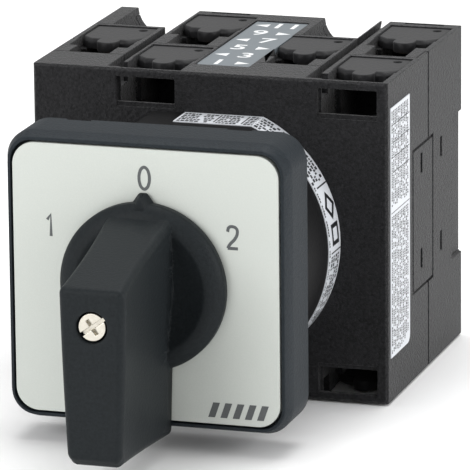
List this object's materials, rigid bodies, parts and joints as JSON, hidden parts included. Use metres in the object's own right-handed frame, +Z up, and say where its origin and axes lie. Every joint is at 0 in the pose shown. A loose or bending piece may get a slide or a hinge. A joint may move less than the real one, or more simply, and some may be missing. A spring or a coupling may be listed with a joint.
{
  "type": "manual transfer switch",
  "caption": "Panel-mounted rotary changeover switch: square legend frame, lever knob, detent collar and stacked cam contact blocks with screw terminals.",
  "frame": {"origin": "on the shaft axis, in the plane of the panel's front face, which the back of the front frame rests on", "axes": "+Y into the cabinet along the shaft, +X to the operator's right, +Z up"},
  "size_m": [0.0616, 0.1081, 0.0546],
  "materials": {
    "knob_plastic": "moulded, satin",
    "frame_plastic": "moulded, matt",
    "legend_plastic": "smooth printed plate",
    "housing_plastic": "fine spark-eroded texture",
    "inner_plastic": "smooth moulded",
    "strip_plastic": "printed strip",
    "label_paper": "satin film label",
    "seal_rubber": "matt",
    "zinc_steel": "zinc plated",
    "shaft_steel": "drawn",
    "spring_steel": "drawn wire",
    "contact_brass": "stamped, tips silvered"
  },
  "bodies": {
    "switch_body": {"front_frame": "frame_plastic", "legend_plate": "legend_plastic", "panel_screws": "zinc_steel", "shaft_seal": "seal_rubber", "detent_housing": "housing_plastic", "detent_cover": "housing_plastic", "detent_rollers": "shaft_steel", "detent_sliders": "inner_plastic", "detent_springs": "spring_steel", "ring_label": "label_paper", "contact_block_1": "housing_plastic", "contact_block_2": "housing_plastic", "contact_block_3": "housing_plastic", "terminal_lids_1": "housing_plastic", "terminal_lids_2": "housing_plastic", "terminal_lids_3": "housing_plastic", "fixed_contacts_1": "contact_brass", "fixed_contacts_2": "contact_brass", "fixed_contacts_3": "contact_brass", "end_plate": "housing_plastic", "terminal_screws": "zinc_steel", "wire_clamps": "zinc_steel", "tie_screws": "zinc_steel", "number_strip_top": "strip_plastic", "number_strip_bottom": "strip_plastic", "side_label": "label_paper", "contact_spring_right_1": "spring_steel", "contact_spring_left_1": "spring_steel", "contact_spring_right_2": "spring_steel", "contact_spring_left_2": "spring_steel", "contact_spring_right_3": "spring_steel", "contact_spring_left_3": "spring_steel"},
    "rotor": {"knob": "knob_plastic", "knob_screw": "zinc_steel", "switch_shaft": "shaft_steel", "detent_star": "inner_plastic", "cam_1": "inner_plastic", "cam_2": "inner_plastic", "cam_3": "inner_plastic", "rear_bush": "inner_plastic"},
    "moving_contact_right_1": {"plunger_right_1": "inner_plastic", "bridge_right_1": "contact_brass"},
    "moving_contact_left_1": {"plunger_left_1": "inner_plastic", "bridge_left_1": "contact_brass"},
    "moving_contact_right_2": {"plunger_right_2": "inner_plastic", "bridge_right_2": "contact_brass"},
    "moving_contact_left_2": {"plunger_left_2": "inner_plastic", "bridge_left_2": "contact_brass"},
    "moving_contact_right_3": {"plunger_right_3": "inner_plastic", "bridge_right_3": "contact_brass"},
    "moving_contact_left_3": {"plunger_left_3": "inner_plastic", "bridge_left_3": "contact_brass"}
  },
  "joints": [
    {"name": "knob_turn", "type": "hinge", "parent": "switch_body", "child": "rotor", "pos_m": [0, 0, 0], "axis": [0, 1, 0], "range_deg": [-60, 60]},
    {"name": "contact_slide_right_1", "type": "slide", "parent": "switch_body", "child": "moving_contact_right_1", "axis": [1, 0, 0], "range_m": [-0.002, 0.002], "deforming": ["contact_spring_right_1"]},
    {"name": "contact_slide_left_1", "type": "slide", "parent": "switch_body", "child": "moving_contact_left_1", "axis": [1, 0, 0], "range_m": [-0.002, 0.002], "deforming": ["contact_spring_left_1"]},
    {"name": "contact_slide_right_2", "type": "slide", "parent": "switch_body", "child": "moving_contact_right_2", "axis": [1, 0, 0], "range_m": [-0.002, 0.002], "deforming": ["contact_spring_right_2"]},
    {"name": "contact_slide_left_2", "type": "slide", "parent": "switch_body", "child": "moving_contact_left_2", "axis": [1, 0, 0], "range_m": [-0.002, 0.002], "deforming": ["contact_spring_left_2"]},
    {"name": "contact_slide_right_3", "type": "slide", "parent": "switch_body", "child": "moving_contact_right_3", "axis": [1, 0, 0], "range_m": [-0.002, 0.002], "deforming": ["contact_spring_right_3"]},
    {"name": "contact_slide_left_3", "type": "slide", "parent": "switch_body", "child": "moving_contact_left_3", "axis": [1, 0, 0], "range_m": [-0.002, 0.002], "deforming": ["contact_spring_left_3"]}
  ],
  "couplings": [
    {"joint": "contact_slide_right_1", "follows": "knob_turn", "m_per_rad": 0.0019098},
    {"joint": "contact_slide_left_1", "follows": "knob_turn", "m_per_rad": 0.0019098},
    {"joint": "contact_slide_right_2", "follows": "knob_turn", "m_per_rad": 0.0019098},
    {"joint": "contact_slide_left_2", "follows": "knob_turn", "m_per_rad": 0.0019098},
    {"joint": "contact_slide_right_3", "follows": "knob_turn", "m_per_rad": 0.0019098},
    {"joint": "contact_slide_left_3", "follows": "knob_turn", "m_per_rad": 0.0019098}
  ]
}
